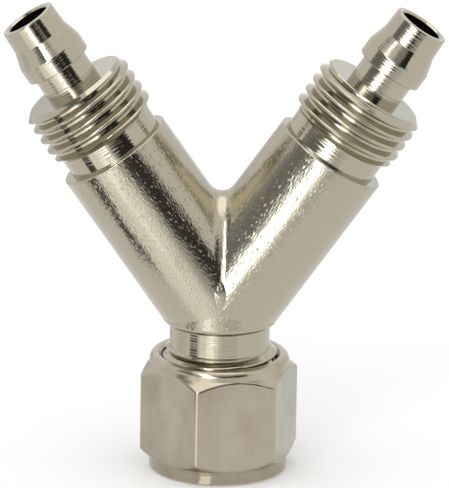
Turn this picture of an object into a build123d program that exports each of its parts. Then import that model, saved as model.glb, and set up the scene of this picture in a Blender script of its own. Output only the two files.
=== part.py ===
from build123d import *
from math import cos, radians, sin, tan
import os

# Push-in Y connector for compressed-air hose: a nickel-plated brass body with
# two raised arms and a stem, each ending in a screw thread round a hose nozzle,
# and the hexagon union nut that is screwed onto the stem.
# Millimetres and degrees. The origin is the middle of the nut's bottom face,
# +Z runs up the stem, and the two arms lean to -X and +X.

# Forged body
leg_diameter = 14.0
arm_angle = 35.0  # between the stem and each forged arm
stem_length = 2.8  # from its flat shoulder to where the forged arms meet
stem_end_rise = 2.0  # the stem's round end sits this far over where the arms meet
crotch_radius = 1.8
stem_shoulder_radius = 0.9

# Turned ports, which stand a little steeper than the forging round them
port_lean = 1.2  # how much steeper
port_drop = 0.5  # the drilled axes cross this far under the forged ones
arm_length = 23.1  # from where the drilled axes cross to an arm's shoulder
arm_shoulder_radius = 0.15
flow_bore_diameter = 5.2
left_thread_turn = 28.0  # where each thread starts, round its axis
right_thread_turn = 190.0
stem_thread_turn = 186.0

# Thread, M14 x 1.5, right-hand
thread_diameter = 13.9
thread_depth = 0.83
thread_pitch = 1.5
thread_flank_angle = 30.0
thread_crest_height = 0.18  # rounded top of each turn
ridge_sink = 0.15  # how deep the ridge is rooted in the core
ridge_gap = 0.1  # between the feet of two turns
neck_undercut = 0.07  # neck behind the thread, under its core
neck_length = 2.4
stem_neck_extra = 0.5  # the stem's neck is this much longer than an arm's
runout_length = 0.75  # cone from the neck up to the thread
threaded_length = 6.1
lead_chamfer = 0.8

# Hose nozzle in front of the thread
nozzle_diameter = 6.8
nozzle_length = 3.15
barb_height = 0.725  # over the nozzle
barb_land_length = 1.95
barb_cone_length = 2.15
nose_taper = 0.1  # the nose is this much thicker, in radius, at the barb
nose_length = 2.7
stem_nose_length = 0.9  # cut short to stay inside the nut
nozzle_edge_radius = 0.12
mouth_chamfer = 0.2

# Union nut
nut_wall = 1.47  # between the bore and a flat
nut_running_clearance = 0.08  # between the thread and the nut's bore
nut_mouth_gap = 3.85  # between the nut and the stem's shoulder
nut_mouth_chamfer = 0.35
nut_turn = 14.0  # from +X to the first corner of the hexagon
nut_corner_radius = 0.6
nut_edge_radius = 0.3  # where the flats meet the turned chamfers
nut_lip_inset = 0.08  # round lip over the hexagon, from the flats
nut_lip_radius = 0.75
nut_lip_height = 1.29  # down to the hexagon's top chamfer
nut_chamfer_angle = 52.0  # of both ends of the hexagon, from the axis
nut_collar_inset = 0.17  # collar under the hexagon, from the flats
nut_collar_height = 1.3
nut_collar_step = 0.44  # slope from the collar out to the bottom chamfer
nut_collar_radius = 0.3
nozzle_recess = 0.4  # the stem's nozzle ends this far inside the nut
seat_lead = 0.5  # the bore starts to close on the hose before the barb
seat_angle = 45.0
hose_diameter = 10.0
hose_clearance = 0.15
hose_hole_chamfer = 0.3

# Along a port from its shoulder
thread_radius = thread_diameter / 2
core_radius = thread_radius - thread_depth
neck_radius = core_radius - neck_undercut
nozzle_radius = nozzle_diameter / 2
barb_radius = nozzle_radius + barb_height
thread_start = neck_length + runout_length
face_height = thread_start + threaded_length
barb_start = face_height + nozzle_length
barb_end = barb_start + barb_land_length
nose_start = barb_end + barb_cone_length

# Heights on the stem
stem_nozzle_tip = nozzle_recess
stem_port_height = stem_nozzle_tip + stem_nose_length + nose_start
stem_shoulder_height = stem_port_height + stem_neck_extra
nut_height = stem_shoulder_height - nut_mouth_gap
hub_height = stem_shoulder_height + stem_length
stem_end_height = hub_height + stem_end_rise
crossing_height = hub_height - port_drop


def leg_plane(side, angle, height, distance=0.0):
    """Plane across an arm, distance along it: side is -1 for the left arm and 1 for the right."""
    axis = Vector(side * sin(radians(angle)), 0, cos(radians(angle)))
    return Plane(origin=Vector(0, 0, height) + axis * distance, x_dir=(0, 1, 0), z_dir=axis)


def thread_ridge():
    """The thread's one helical ridge, a turn too long at both ends."""
    foot_radius = core_radius - ridge_sink
    ridge_height = thread_radius - foot_radius
    crest_start = ridge_height - thread_crest_height
    half_foot = (thread_pitch - ridge_gap) / 2
    half_crest = half_foot - crest_start * tan(radians(thread_flank_angle))
    ridge_start = neck_length - thread_pitch
    ridge_length = face_height - neck_length + 2 * thread_pitch
    with BuildPart() as ridge:
        with BuildLine():
            path = Helix(thread_pitch, ridge_length, foot_radius, center=(0, 0, ridge_start))
        with BuildSketch(Plane(origin=path @ 0, x_dir=(1, 0, 0), z_dir=path % 0)):
            with BuildLine():
                lower = Line((0, -half_foot), (crest_start, -half_crest))
                crest = ThreePointArc(lower @ 1, (ridge_height, 0), (crest_start, half_crest))
                upper = Line(crest @ 1, (0, half_foot))
                Line(upper @ 1, lower @ 0)
            make_face()
        sweep(path=path, is_frenet=True)
    return ridge.part


def screw_port(nose):
    """Neck, thread and nozzle of one leg, along +Z from its shoulder, turned from a threaded bar."""
    nose_tip = nose_start + nose
    root = neck_length / 2
    with BuildPart() as port:
        with BuildSketch(Plane.XY.offset(-neck_length)):
            Circle(core_radius)
        extrude(amount=neck_length + nose_tip + thread_pitch)
        add(thread_ridge())
        with BuildSketch(Plane.XZ):
            with BuildLine():
                Polyline(
                    (0, -root),
                    (neck_radius, -root),
                    (neck_radius, neck_length),
                    (thread_radius, thread_start),
                    (thread_radius, face_height - lead_chamfer),
                    (thread_radius - lead_chamfer, face_height),
                    (nozzle_radius, face_height),
                    (nozzle_radius, barb_start),
                    (barb_radius, barb_start),
                    (barb_radius, barb_end),
                    (nozzle_radius + nose_taper, nose_start),
                    (nozzle_radius, nose_tip),
                    (0, nose_tip),
                    close=True,
                )
            make_face()
        revolve(axis=Axis.Z, mode=Mode.INTERSECT)
        rims = port.edges().filter_by(GeomType.CIRCLE).group_by(Axis.Z)
        barb_rims = [rim for group in rims for rim in group if abs(rim.radius - barb_radius) < 0.001]
        fillet(barb_rims + rims[-1], radius=nozzle_edge_radius)
    return port.part


arm_port = screw_port(nose_length)
stem_port = screw_port(stem_nose_length)
arm_bore_length = arm_length + nose_start + nose_length
stem_bore_length = crossing_height - stem_nozzle_tip
port_angle = arm_angle - port_lean
stem_plane = Plane(origin=(0, 0, stem_port_height), x_dir=(1, 0, 0), z_dir=(0, 0, -1))

with BuildPart() as y_body:
    # Three round legs that meet in a ball of the same diameter
    with Locations((0, 0, hub_height)):
        Sphere(leg_diameter / 2)
    with BuildSketch(Plane.XY.offset(stem_shoulder_height)):
        Circle(leg_diameter / 2)
    extrude(amount=stem_length)
    for side in (-1, 1):
        with BuildSketch(leg_plane(side, arm_angle, hub_height)):
            Circle(leg_diameter / 2)
        extrude(amount=arm_length + leg_diameter / 2)
    split(bisect_by=Plane.XY.offset(stem_shoulder_height), keep=Keep.TOP)
    crotch = y_body.edges().filter_by(GeomType.ELLIPSE).sort_by(Axis.Z)[-1]
    fillet(crotch, radius=crotch_radius)

    # Round end of the stem, which fills the low end of the crotch
    with BuildSketch(Plane.XZ):
        with BuildLine():
            wall = Line((leg_diameter / 2, hub_height), (leg_diameter / 2, stem_end_height))
            dome = RadiusArc(wall @ 1, (0, stem_end_height + leg_diameter / 2), -leg_diameter / 2)
            middle = Line(dome @ 1, (0, hub_height))
            Line(middle @ 1, wall @ 0)
        make_face()
    revolve(axis=Axis.Z)

    # Flat shoulders, square to the drilled axes
    for side in (-1, 1):
        shoulder = leg_plane(side, port_angle, crossing_height, arm_length)
        split(bisect_by=shoulder, keep=Keep.BOTTOM)
        rim = y_body.faces().filter_by(lambda face: face.is_coplanar(shoulder)).edges()
        fillet(rim, radius=arm_shoulder_radius)
    fillet(y_body.faces().sort_by(Axis.Z)[0].edges(), radius=stem_shoulder_radius)

    # Ports
    for side, turn in ((-1, left_thread_turn), (1, right_thread_turn)):
        shoulder = leg_plane(side, port_angle, crossing_height, arm_length)
        with Locations(shoulder):
            add(arm_port, rotation=(0, 0, turn))
    with Locations(stem_plane):
        add(stem_port, rotation=(0, 0, stem_thread_turn))

    # Flow bores, drilled from each nozzle's mouth to where the axes cross
    for plane, bore_length in (
        (leg_plane(-1, port_angle, crossing_height), arm_bore_length),
        (leg_plane(1, port_angle, crossing_height), arm_bore_length),
        (stem_plane.offset(stem_port_height - crossing_height), stem_bore_length),
    ):
        with BuildSketch(plane):
            Circle(flow_bore_diameter / 2)
        extrude(amount=bore_length, mode=Mode.SUBTRACT)
        mouth = plane.offset(bore_length).origin
        mouth_rim = y_body.edges().filter_by(GeomType.CIRCLE).sort_by_distance(mouth)[0]
        chamfer(mouth_rim, length=mouth_chamfer)
y_body.part.label = "y_body"

# Union nut
bore_radius = thread_radius + nut_running_clearance
flat_radius = bore_radius + nut_wall
corner_radius = flat_radius / cos(radians(30))
lip_radius = flat_radius - nut_lip_inset
collar_radius = flat_radius - nut_collar_inset
hole_radius = hose_diameter / 2 + hose_clearance
chamfer_height = (corner_radius - lip_radius) / tan(radians(nut_chamfer_angle))
hexagon_base = nut_collar_height + nut_collar_step
hexagon_top = nut_height - nut_lip_height
seat_top = stem_port_height - barb_start + seat_lead
seat_base = seat_top - (bore_radius - hole_radius) / tan(radians(seat_angle))

with BuildPart() as union_nut:
    with BuildSketch():
        hexagon = RegularPolygon(corner_radius, 6, rotation=nut_turn)
        fillet(hexagon.vertices(), radius=nut_corner_radius)
    extrude(amount=nut_height)

    # Outside, turned down to a lip above the hexagon and a collar below it
    with BuildSketch(Plane.XZ):
        with BuildLine():
            base = Line((0, 0), (collar_radius - nut_collar_radius, 0))
            base_edge = RadiusArc(base @ 1, (collar_radius, nut_collar_radius), -nut_collar_radius)
            side = Polyline(
                base_edge @ 1,
                (collar_radius, nut_collar_height),
                (lip_radius, hexagon_base),
                (corner_radius, hexagon_base + chamfer_height),
                (corner_radius, hexagon_top - chamfer_height),
                (lip_radius, hexagon_top),
                (lip_radius, nut_height - nut_lip_radius),
            )
            lip = RadiusArc(side @ 1, (lip_radius - nut_lip_radius, nut_height), -nut_lip_radius)
            top = Line(lip @ 1, (0, nut_height))
            Line(top @ 1, base @ 0)
        make_face()
    revolve(axis=Axis.Z, mode=Mode.INTERSECT)
    fillet(union_nut.edges().filter_by(GeomType.HYPERBOLA), radius=nut_edge_radius)

    # Inside: bore for the thread, seat that closes on the hose, and hose hole
    with BuildSketch(Plane.XZ):
        with BuildLine():
            Polyline(
                (0, 0),
                (hole_radius + hose_hole_chamfer, 0),
                (hole_radius, hose_hole_chamfer),
                (hole_radius, seat_base),
                (bore_radius, seat_top),
                (bore_radius, nut_height - nut_mouth_chamfer),
                (bore_radius + nut_mouth_chamfer, nut_height),
                (0, nut_height),
                close=True,
            )
        make_face()
    revolve(axis=Axis.Z, mode=Mode.SUBTRACT)
union_nut.part.label = "union_nut"

os.makedirs("parts", exist_ok=True)
export_step(y_body.part, "parts/y_body.step")
export_step(union_nut.part, "parts/union_nut.step")
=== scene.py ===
import bpy
import bmesh
from math import cos, radians, sin
from mathutils import Matrix, Vector

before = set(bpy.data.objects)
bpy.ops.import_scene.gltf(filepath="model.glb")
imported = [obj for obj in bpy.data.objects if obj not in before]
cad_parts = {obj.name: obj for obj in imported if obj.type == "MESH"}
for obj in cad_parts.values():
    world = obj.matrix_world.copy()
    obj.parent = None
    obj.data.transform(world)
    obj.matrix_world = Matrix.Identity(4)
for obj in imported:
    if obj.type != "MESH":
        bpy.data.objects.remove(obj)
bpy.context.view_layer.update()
scene = bpy.context.scene
print("frame loaded")

mm = 0.001  # the CAD is in millimetres, the scene in metres


def linear(hexColour):  # "#rrggbb" in sRGB to the linear colour Blender works in
    channels = [int(hexColour[i:i + 2], 16) / 255 for i in (1, 3, 5)]
    return [c / 12.92 if c <= 0.04045 else ((c + 0.055) / 1.055) ** 2.4 for c in channels] + [1.0]


def newMaterial(name):
    material = bpy.data.materials.new(name)
    material.use_nodes = True
    material.node_tree.nodes.clear()
    return material


def addNode(material, kind, settings=None, links=None):  # links: {input: the node or output it takes}
    node = material.node_tree.nodes.new(kind)
    for name, value in (settings or {}).items():
        if isinstance(name, str) and hasattr(node, name):
            setattr(node, name, value)
        else:
            node.inputs[name].default_value = value
    for name, source in (links or {}).items():
        output = source.outputs[0] if isinstance(source, bpy.types.Node) else source
        material.node_tree.links.new(output, node.inputs[name])
    return node


# Nickel plating on brass, forged and then turned at the ends: a warm, soft mirror. Sandy grain breaks it up on
# the forged skin, and fine rings of the turning tool do so on the threads, necks and nozzles.
yBody = {
    "colour": "#b0a996",
    "forgedRoughness": 0.16,
    "turnedRoughness": 0.08,
    "grainSize": 0.15,         # mm, drawn coarser than the real 0.1 mm of forged and plated skin so that it shows
    "grainHeight": 0.048,      # mm
    "grainStretch": 0.36,      # under 1 draws the grain out along the arm
    "grainSharpness": 5,       # more leaves fewer and sharper specks
    "waveSize": 2.6,           # mm, slow waves in the same skin
    "waveHeight": 0.1,         # mm
    "toolPitch": 0.26,         # mm, drawn coarser than a real feed of 0.1 mm so that it shows
    "toolHeight": 0.022,       # mm
    "armAngle": 35.0,          # degrees, between the stem and each forged arm
    "armOffset": 50,           # mm, between the two arms' places in the pattern, so that they differ
    "portAngle": 33.8,         # degrees, between the stem and each drilled axis
    "crossingHeight": 20.6,    # mm, where the drilled axes cross
    "shoulderDistance": 23.1,  # mm, from the crossing to the arms' flat shoulders
    "stemShoulder": 18.3,      # mm, height of the shoulder over the stem's neck
    "edgeAllowance": 0.02,     # mm, keeps the shoulders' own faces on the forged side
}


def makePlatedBody():
    material = newMaterial("nickel plated forged brass")
    place = addNode(material, "ShaderNodeTexCoord").outputs["Object"]
    point = addNode(material, "ShaderNodeSeparateXYZ", None, {"Vector": place})
    side = addNode(material, "ShaderNodeMath", {"operation": "SIGN"}, {0: point.outputs["X"]})
    outwards = addNode(material, "ShaderNodeMath", {"operation": "ABSOLUTE"}, {0: point.outputs["X"]})
    folded = addNode(material, "ShaderNodeCombineXYZ", None, {
        "X": outwards, "Y": point.outputs["Y"], "Z": point.outputs["Z"]})  # both arms over each other

    # What is forged: below the arms' shoulders and above the stem's
    angle = radians(yBody["portAngle"])
    along = addNode(material, "ShaderNodeVectorMath", {
        "operation": "DOT_PRODUCT", 1: (sin(angle), 0, cos(angle))}, {0: folded}).outputs["Value"]
    portStart = yBody["shoulderDistance"] + yBody["crossingHeight"] * cos(angle) + yBody["edgeAllowance"]
    stemEnd = yBody["stemShoulder"] - yBody["edgeAllowance"]
    belowPort = addNode(material, "ShaderNodeMath", {"operation": "LESS_THAN", 1: portStart * mm}, {0: along})
    aboveStem = addNode(material, "ShaderNodeMath", {
        "operation": "GREATER_THAN", 1: stemEnd * mm}, {0: point.outputs["Z"]})
    forged = addNode(material, "ShaderNodeMath", {"operation": "MULTIPLY"}, {0: belowPort, 1: aboveStem})

    # Grain and waves, drawn out along each arm and different from arm to arm
    upright = addNode(material, "ShaderNodeMapping", {
        "Rotation": (0, -radians(yBody["armAngle"]), 0)}, {"Vector": folded})
    stretched = addNode(material, "ShaderNodeVectorMath", {
        "operation": "MULTIPLY", 1: (1, 1, yBody["grainStretch"])}, {0: upright})
    apart = addNode(material, "ShaderNodeMath", {"operation": "MULTIPLY", 1: yBody["armOffset"] * mm}, {0: side})
    shift = addNode(material, "ShaderNodeCombineXYZ", None, {"Y": apart})
    skin = addNode(material, "ShaderNodeVectorMath", {"operation": "ADD"}, {0: stretched, 1: shift})
    grain = addNode(material, "ShaderNodeTexNoise", {
        "Scale": 1 / (yBody["grainSize"] * mm), "Detail": 0}, {"Vector": skin})
    sand = addNode(material, "ShaderNodeMath", {"operation": "POWER", 1: yBody["grainSharpness"]}, {0: grain})
    waves = addNode(material, "ShaderNodeTexNoise", {
        "Scale": 1 / (yBody["waveSize"] * mm), "Detail": 1}, {"Vector": skin})
    slow = addNode(material, "ShaderNodeMath", {"operation": "MULTIPLY", 1: yBody["waveHeight"] * mm}, {0: waves})
    forgedHeight = addNode(material, "ShaderNodeMath", {
        "operation": "MULTIPLY_ADD", 1: yBody["grainHeight"] * mm}, {0: sand, 2: slow})

    # Tool rings, counted along the port or the stem
    distance = addNode(material, "ShaderNodeMix", {"data_type": "FLOAT"}, {
        0: aboveStem, 2: point.outputs["Z"], 3: along})
    rings = addNode(material, "ShaderNodeTexNoise", {
        "noise_dimensions": "1D", "Scale": 1 / (yBody["toolPitch"] * mm), "Detail": 2}, {"W": distance})
    turnedHeight = addNode(material, "ShaderNodeMath", {
        "operation": "MULTIPLY", 1: yBody["toolHeight"] * mm}, {0: rings})

    height = addNode(material, "ShaderNodeMix", {"data_type": "FLOAT"}, {
        0: forged, 2: turnedHeight, 3: forgedHeight})
    bump = addNode(material, "ShaderNodeBump", {"Strength": 1.0, "Distance": 1.0}, {"Height": height})
    roughness = addNode(material, "ShaderNodeMapRange", {
        "To Min": yBody["turnedRoughness"], "To Max": yBody["forgedRoughness"]}, {"Value": forged})
    shader = addNode(material, "ShaderNodeBsdfPrincipled", {
        "Base Color": linear(yBody["colour"]), "Metallic": 1.0}, {"Roughness": roughness, "Normal": bump})
    addNode(material, "ShaderNodeOutputMaterial", None, {"Surface": shader})
    return material


# The same plating on the turned and milled nut: duller, a little redder, clouded in colour and in slight hollows
unionNut = {
    "colours": ("#a69b87", "#bab09e"),  # where the clouds are dark and where they are light
    "roughness": (0.14, 0.26),          # in the same places
    "cloudSize": 3.5,                   # mm across the nut
    "cloudStretch": 0.6,                # under 1 draws the clouds out along the nut's axis
    "cloudHeight": 0.06,                # mm
    "cloudRange": (0.3, 0.7),           # the noise at which the clouds are darkest and lightest
}


def makePlatedNut():
    material = newMaterial("nickel plated turned brass")
    place = addNode(material, "ShaderNodeTexCoord").outputs["Object"]
    stretched = addNode(material, "ShaderNodeVectorMath", {
        "operation": "MULTIPLY", 1: (1, 1, unionNut["cloudStretch"])}, {0: place})
    noise = addNode(material, "ShaderNodeTexNoise", {
        "Scale": 1 / (unionNut["cloudSize"] * mm), "Detail": 4}, {"Vector": stretched})
    height = addNode(material, "ShaderNodeMath", {
        "operation": "MULTIPLY", 1: unionNut["cloudHeight"] * mm}, {0: noise})
    bump = addNode(material, "ShaderNodeBump", {"Strength": 1.0, "Distance": 1.0}, {"Height": height})

    lowest, highest = unionNut["cloudRange"]
    clouds = addNode(material, "ShaderNodeMapRange", {"From Min": lowest, "From Max": highest}, {"Value": noise})
    smoothest, roughest = unionNut["roughness"]
    roughness = addNode(material, "ShaderNodeMapRange", {"To Min": smoothest, "To Max": roughest}, {"Value": clouds})
    dark, light = [linear(colour) for colour in unionNut["colours"]]
    colour = addNode(material, "ShaderNodeMix", {"data_type": "RGBA", 6: dark, 7: light}, {0: clouds}).outputs[2]
    shader = addNode(material, "ShaderNodeBsdfPrincipled", {"Metallic": 1.0}, {
        "Base Color": colour, "Roughness": roughness, "Normal": bump})
    addNode(material, "ShaderNodeOutputMaterial", None, {"Surface": shader})
    return material


for node, material in (("y_body", makePlatedBody()), ("union_nut", makePlatedNut())):
    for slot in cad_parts[node].material_slots:
        slot.material = material
print("plating done")

# Camera, at the photograph's viewing angle
camera = {
    "distance": 952,              # mm
    "elevation": 17.2,            # degrees above the horizon
    "azimuth": -0.15,             # degrees to the right of straight on
    "roll": 0.91,                 # degrees
    "lens": 584,                  # mm
    "sensor": 36,                 # mm, for the frame's long side
    "target": (0, 0, 26.8),       # mm
    "shift": (0.00717, 0.01967),  # parts of the frame's long side
    "clip": (0.01, 20),           # metres
}


def makeCamera():
    data = bpy.data.cameras.new("camera")
    data.sensor_width = camera["sensor"]
    data.lens = camera["lens"]
    data.shift_x, data.shift_y = camera["shift"]
    data.clip_start, data.clip_end = camera["clip"]
    holder = bpy.data.objects.new("camera", data)
    scene.collection.objects.link(holder)
    azimuth, elevation = radians(camera["azimuth"]), radians(camera["elevation"])
    forward = Vector((-sin(azimuth) * cos(elevation), cos(azimuth) * cos(elevation), -sin(elevation)))
    target = Vector(camera["target"]) * mm
    holder.location = target - forward * camera["distance"] * mm
    turn = forward.to_track_quat("-Z", "Y").to_matrix() @ Matrix.Rotation(radians(camera["roll"]), 3, "Z")
    holder.rotation_euler = turn.to_euler()
    scene.camera = holder


makeCamera()
print("camera done")

# Studio: a pale floor, soft light all round, and cards and shades that only the metal sees
studio = {
    "centre": (0, 0, 30),         # mm, which the cards stand round
    "surround": 1.0,              # brightness of the world, 1 is white
    "floor": "#ffffff",
    "floorSize": 6000,            # mm
    "lampPower": 0.6,             # W
    "lampSize": (200, 260),       # mm
    "lampPlace": (-22, 35, 640),  # azimuth and elevation in degrees, distance in mm
    "cardSteps": (24, 12),        # faces across and up, enough to curve round the fitting
    "shadeSteps": (90, 1),
    "shadeHeight": -0.3,          # mm, just under the floor
}

# Each card reaches from one azimuth and elevation to another, in degrees: azimuth 0 is the viewer's side and 90 is
# to the right. Lean moves its top sideways, in degrees. Distance is in mm, short enough for the nozzles and the arms
# to reflect different cards. Glow 1 is as bright as the surround.
cards = {
    "softbox": {"azimuth": (-21.5, -5), "elevation": (-12, 50), "lean": -20, "distance": 200, "glow": 5.0},
    "softboxEdge": {"azimuth": (-6, 2), "elevation": (-17, -6), "lean": 0, "distance": 203, "glow": 1.35},
    "softboxFoot": {"azimuth": (-30, -13), "elevation": (-26, -12), "lean": 0, "distance": 205, "glow": 2.0},
    "bounce": {"azimuth": (-46, -4), "elevation": (-42, -14), "lean": 0, "distance": 215, "glow": 1.4},
    "leftFlag": {"azimuth": (-52, -22), "elevation": (3, 55), "lean": -42, "distance": 195, "glow": 0.26},
    "leftFlagSide": {"azimuth": (-80, -58), "elevation": (14, 55), "lean": 0, "distance": 225, "glow": 0.4},
    "rightFlag": {"azimuth": (-2, 46), "elevation": (-5, 32), "lean": 0, "distance": 210, "glow": 0.04},
    "rightFlagTop": {"azimuth": (-6, 24), "elevation": (12, 34), "lean": 0, "distance": 207, "glow": 0.4},
    "rightApron": {"azimuth": (4, 40), "elevation": (-20, -5), "lean": 0, "distance": 210, "glow": 0.75},
    "leftSide": {"azimuth": (-112, -84), "elevation": (-30, -4), "lean": 0, "distance": 220, "glow": 0.9},
    "backLeft": {"azimuth": (-164, -138), "elevation": (-24, 10), "lean": 0, "distance": 200, "glow": 0.75},
    "backRight": {"azimuth": (140, 164), "elevation": (-33, 10), "lean": 0, "distance": 200, "glow": 0.92},
    "overhead": {"azimuth": (-180, 180), "elevation": (62, 90), "lean": 0, "distance": 230, "glow": 2.0},
}
coolCards = {"softbox": "#edf4ff", "backRight": "#f8fdff"}  # the others are white

# Each shade is painted shadow: part of a flat ring round the fitting's axis, with its radius in mm, lying just under
# the floor and seen only by the metal. The floor is hidden from reflections, so these dark sheets stand in for the
# floor's contact shadow round the foot and its cast shadow to the front left.
shades = {
    "footShade": {"azimuth": (-8, 341), "radius": (8.6, 13.5), "glow": 0.72},
    "floorShadowSpot": {"azimuth": (-69, -50), "radius": (38, 68), "glow": 0.1},
}


def onStudio(azimuth, elevation, distance):  # a point that far from the studio's centre, in metres
    a, e = radians(azimuth), radians(elevation)
    return (Vector(studio["centre"]) + distance * Vector((sin(a) * cos(e), -cos(a) * cos(e), sin(e)))) * mm


def newSheet(name, steps, place):  # place takes a point of a grid from -1 to 1 each way to where it belongs
    mesh = bpy.data.meshes.new(name)
    shape = bmesh.new()
    bmesh.ops.create_grid(shape, x_segments=steps[0], y_segments=steps[1], size=1)
    for vert in shape.verts:
        vert.co = place(vert.co)
    shape.to_mesh(mesh)
    shape.free()
    sheet = bpy.data.objects.new(name, mesh)
    scene.collection.objects.link(sheet)
    return sheet


def between(limits, position):  # position from -1 to 1
    return limits[0] + (limits[1] - limits[0]) * (position + 1) / 2


def showOnlyInMetal(sheet, glow, colour="#ffffff"):
    material = newMaterial(sheet.name)
    shader = addNode(material, "ShaderNodeEmission", {"Color": linear(colour), "Strength": glow})
    addNode(material, "ShaderNodeOutputMaterial", None, {"Surface": shader})
    sheet.data.materials.append(material)
    sheet.visible_camera = sheet.visible_diffuse = sheet.visible_shadow = False


def makeCard(name, card):
    def place(point):
        azimuth = between(card["azimuth"], point.x) + card["lean"] * (point.y + 1) / 2
        return onStudio(azimuth, between(card["elevation"], point.y), card["distance"])
    sheet = newSheet(name, studio["cardSteps"], place)
    showOnlyInMetal(sheet, card["glow"], coolCards.get(name, "#ffffff"))


def makeShade(name, shade):
    def place(point):
        azimuth, radius = radians(between(shade["azimuth"], point.x)), between(shade["radius"], point.y)
        return Vector((radius * sin(azimuth), -radius * cos(azimuth), studio["shadeHeight"])) * mm
    showOnlyInMetal(newSheet(name, studio["shadeSteps"], place), shade["glow"])


def makeFloor():
    floor = newSheet("floor", (1, 1), lambda point: point * studio["floorSize"] / 2 * mm)
    material = newMaterial("matt white floor")
    shader = addNode(material, "ShaderNodeBsdfDiffuse", {"Color": linear(studio["floor"])})
    addNode(material, "ShaderNodeOutputMaterial", None, {"Surface": shader})
    floor.data.materials.append(material)
    floor.visible_glossy = False  # below the horizon too, the metal sees the cards and the white surround


def makeLamp():
    data = bpy.data.lights.new("softboxLamp", "AREA")
    data.shape = "RECTANGLE"
    data.size, data.size_y = [length * mm for length in studio["lampSize"]]
    data.energy = studio["lampPower"]
    lamp = bpy.data.objects.new("softboxLamp", data)
    scene.collection.objects.link(lamp)
    lamp.location = onStudio(*studio["lampPlace"])
    towards = Vector(studio["centre"]) * mm - lamp.location
    lamp.rotation_euler = towards.to_track_quat("-Z", "Y").to_euler()
    lamp.visible_glossy = False  # the softbox card stands for it there


def makeWorld():
    world = bpy.data.worlds.new("studio")
    world.use_nodes = True
    background = world.node_tree.nodes["Background"]
    background.inputs["Color"].default_value = (1, 1, 1, 1)
    background.inputs["Strength"].default_value = studio["surround"]
    scene.world = world


makeFloor()
for name, card in cards.items():
    makeCard(name, card)
for name, shade in shades.items():
    makeShade(name, shade)
makeLamp()
makeWorld()
scene.view_settings.view_transform = "Standard"
print("studio done")
